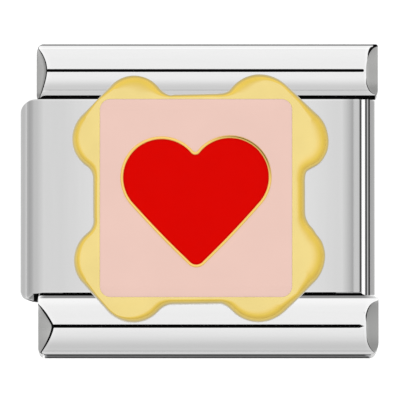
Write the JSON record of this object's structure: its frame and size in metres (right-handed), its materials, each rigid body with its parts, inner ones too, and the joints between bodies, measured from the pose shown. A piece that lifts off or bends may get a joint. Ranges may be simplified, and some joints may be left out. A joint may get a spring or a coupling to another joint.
{
  "type": "charm bracelet link",
  "caption": "Polished steel bracelet link with seamed side rails and offset rolled tubes, carrying a gold scalloped plaque with pink enamel and a red enamel heart.",
  "frame": {"origin": "middle of the box's underside, on the surface that the link's flat back lies on", "axes": "+Z out of the decorated face, +X along the bracelet towards the open slot, +Y up the heart"},
  "size_m": [0.0102, 0.0088, 0.0037],
  "materials": {
    "rails": "mirror-polished stainless steel",
    "tubes": "mirror-polished stainless steel",
    "leaf": "polished spring steel",
    "gold": "polished gold-tone plating",
    "pink": "smooth pale pink enamel",
    "red": "smooth bright red enamel"
  },
  "bodies": {
    "root": {"rail_top": "rails", "rail_bottom": "rails", "face_tube": "tubes", "back_tube": "tubes", "spring_leaf": "leaf", "plaque": "gold", "enamel_pink": "pink", "enamel_red": "red"}
  },
  "joints": []
}
